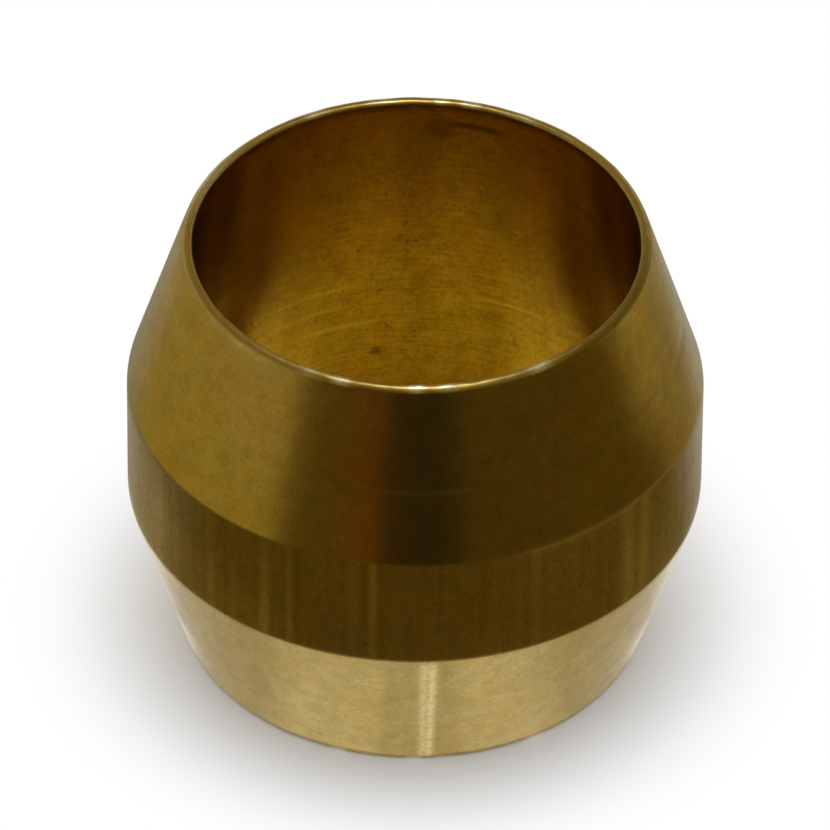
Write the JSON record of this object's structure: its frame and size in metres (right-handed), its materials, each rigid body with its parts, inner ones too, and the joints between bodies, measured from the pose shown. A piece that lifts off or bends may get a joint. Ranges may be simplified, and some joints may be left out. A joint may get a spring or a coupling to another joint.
{
  "type": "compression olive",
  "caption": "Short brass ring that tapers from a plain middle band to a thin rim at either end, bored right through; squeezed onto a pipe to seal a compression joint.",
  "frame": {"origin": "centre of the lower end face, on the surface that the ring stands on", "axes": "+Z along the bore, up from the end that the ring stands on; X and Y are any two directions across it"},
  "size_m": [0.008, 0.008, 0.0067],
  "materials": {
    "brass": "satin, as turned and tumbled"
  },
  "bodies": {
    "root": {"olive": "brass"}
  },
  "joints": []
}
